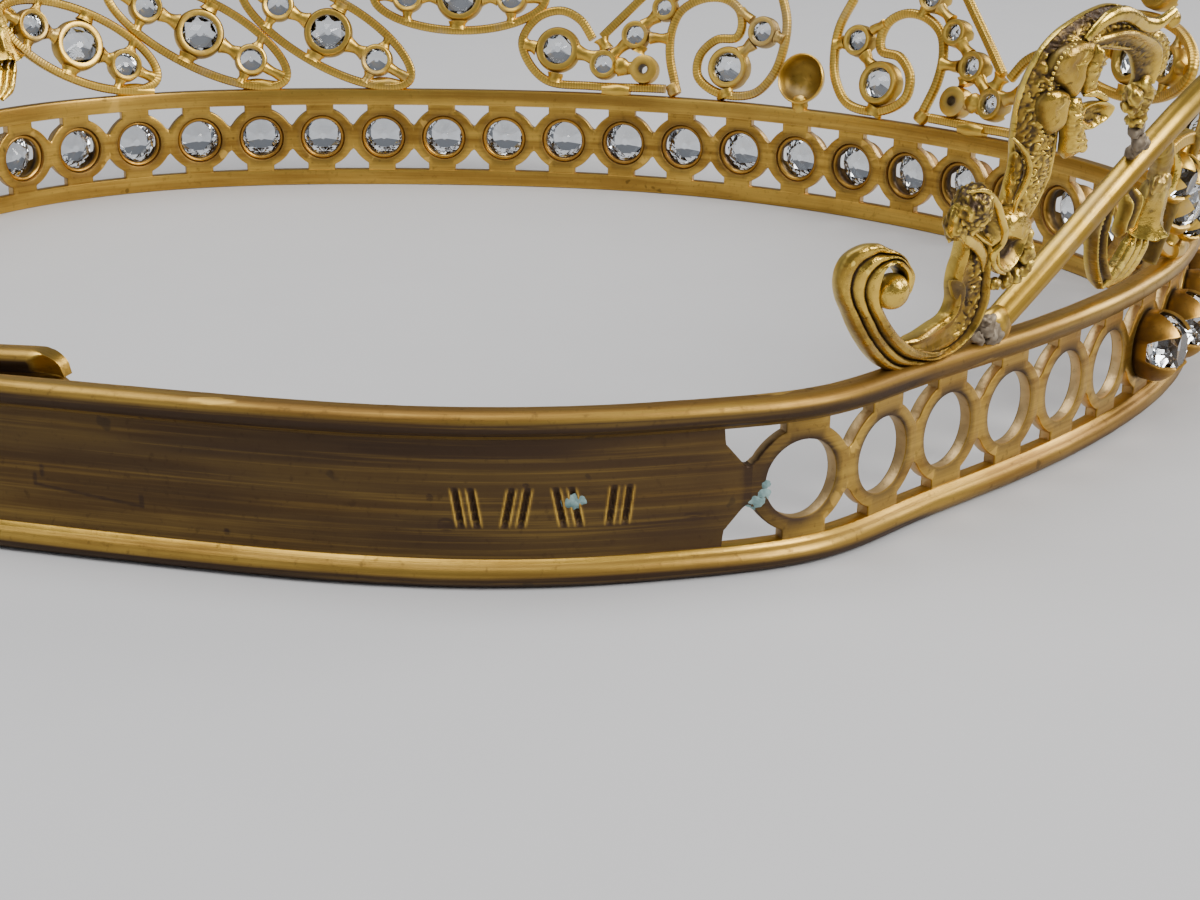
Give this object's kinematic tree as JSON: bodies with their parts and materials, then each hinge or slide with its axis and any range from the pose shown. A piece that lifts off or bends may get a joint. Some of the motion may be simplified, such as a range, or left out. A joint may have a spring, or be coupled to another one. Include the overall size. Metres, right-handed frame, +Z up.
{
  "type": "statue crown",
  "caption": "Open ring crown for a devotional statue: a pierced brass band with half-round rims under a pointed front panel of wire filigree, set with clear glass stones.",
  "frame": {"origin": "centre of the crown's bounding box, on the plane of the lower rim it stands on", "axes": "+Z up, the way it is worn; the front panel faces -Y; the left side, with the volute at -X, is seen from the back at the left"},
  "size_m": [0.1598, 0.1644, 0.087],
  "materials": {
    "brass": "aged, worn to bright on the edges, with brown patina in the hollows",
    "glass": "clear faceted stones in brown claw cups"
  },
  "bodies": {
    "root": {"band": "brass", "centre_boss": "brass", "corner_scroll_left": "brass", "corner_scroll_right": "brass", "crest_scroll_left": "brass", "crest_scroll_right": "brass", "filigree_left": "brass", "filigree_right": "brass", "finial": "brass", "navette_left_1": "brass", "navette_left_2": "brass", "navette_left_3": "brass", "navette_left_4": "brass", "navette_right_1": "brass", "navette_right_2": "brass", "navette_right_3": "brass", "navette_right_4": "brass", "outline_rail_left": "brass", "outline_rail_right": "brass", "peak_navette": "brass", "peak_spray_left": "brass", "peak_spray_right": "brass", "stone_cup_01": "glass", "stone_cup_02": "glass", "stone_cup_03": "glass", "stone_cup_04": "glass", "stone_cup_05": "glass", "stone_cup_06": "glass", "stone_cup_07": "glass", "stone_cup_08": "glass", "stone_cup_09": "glass", "stone_cup_10": "glass", "stone_cup_11": "glass", "stone_cup_12": "glass", "stone_cup_13": "glass", "stone_cup_14": "glass", "stone_cup_15": "glass", "stone_cup_16": "glass", "stone_cup_17": "glass", "stone_cup_18": "glass", "stone_cup_19": "glass", "stone_cup_20": "glass", "stone_cup_21": "glass", "stone_cup_22": "glass", "stone_cup_23": "glass", "stone_cup_24": "glass", "stone_cup_25": "glass", "stone_cup_26": "glass"}
  },
  "joints": []
}
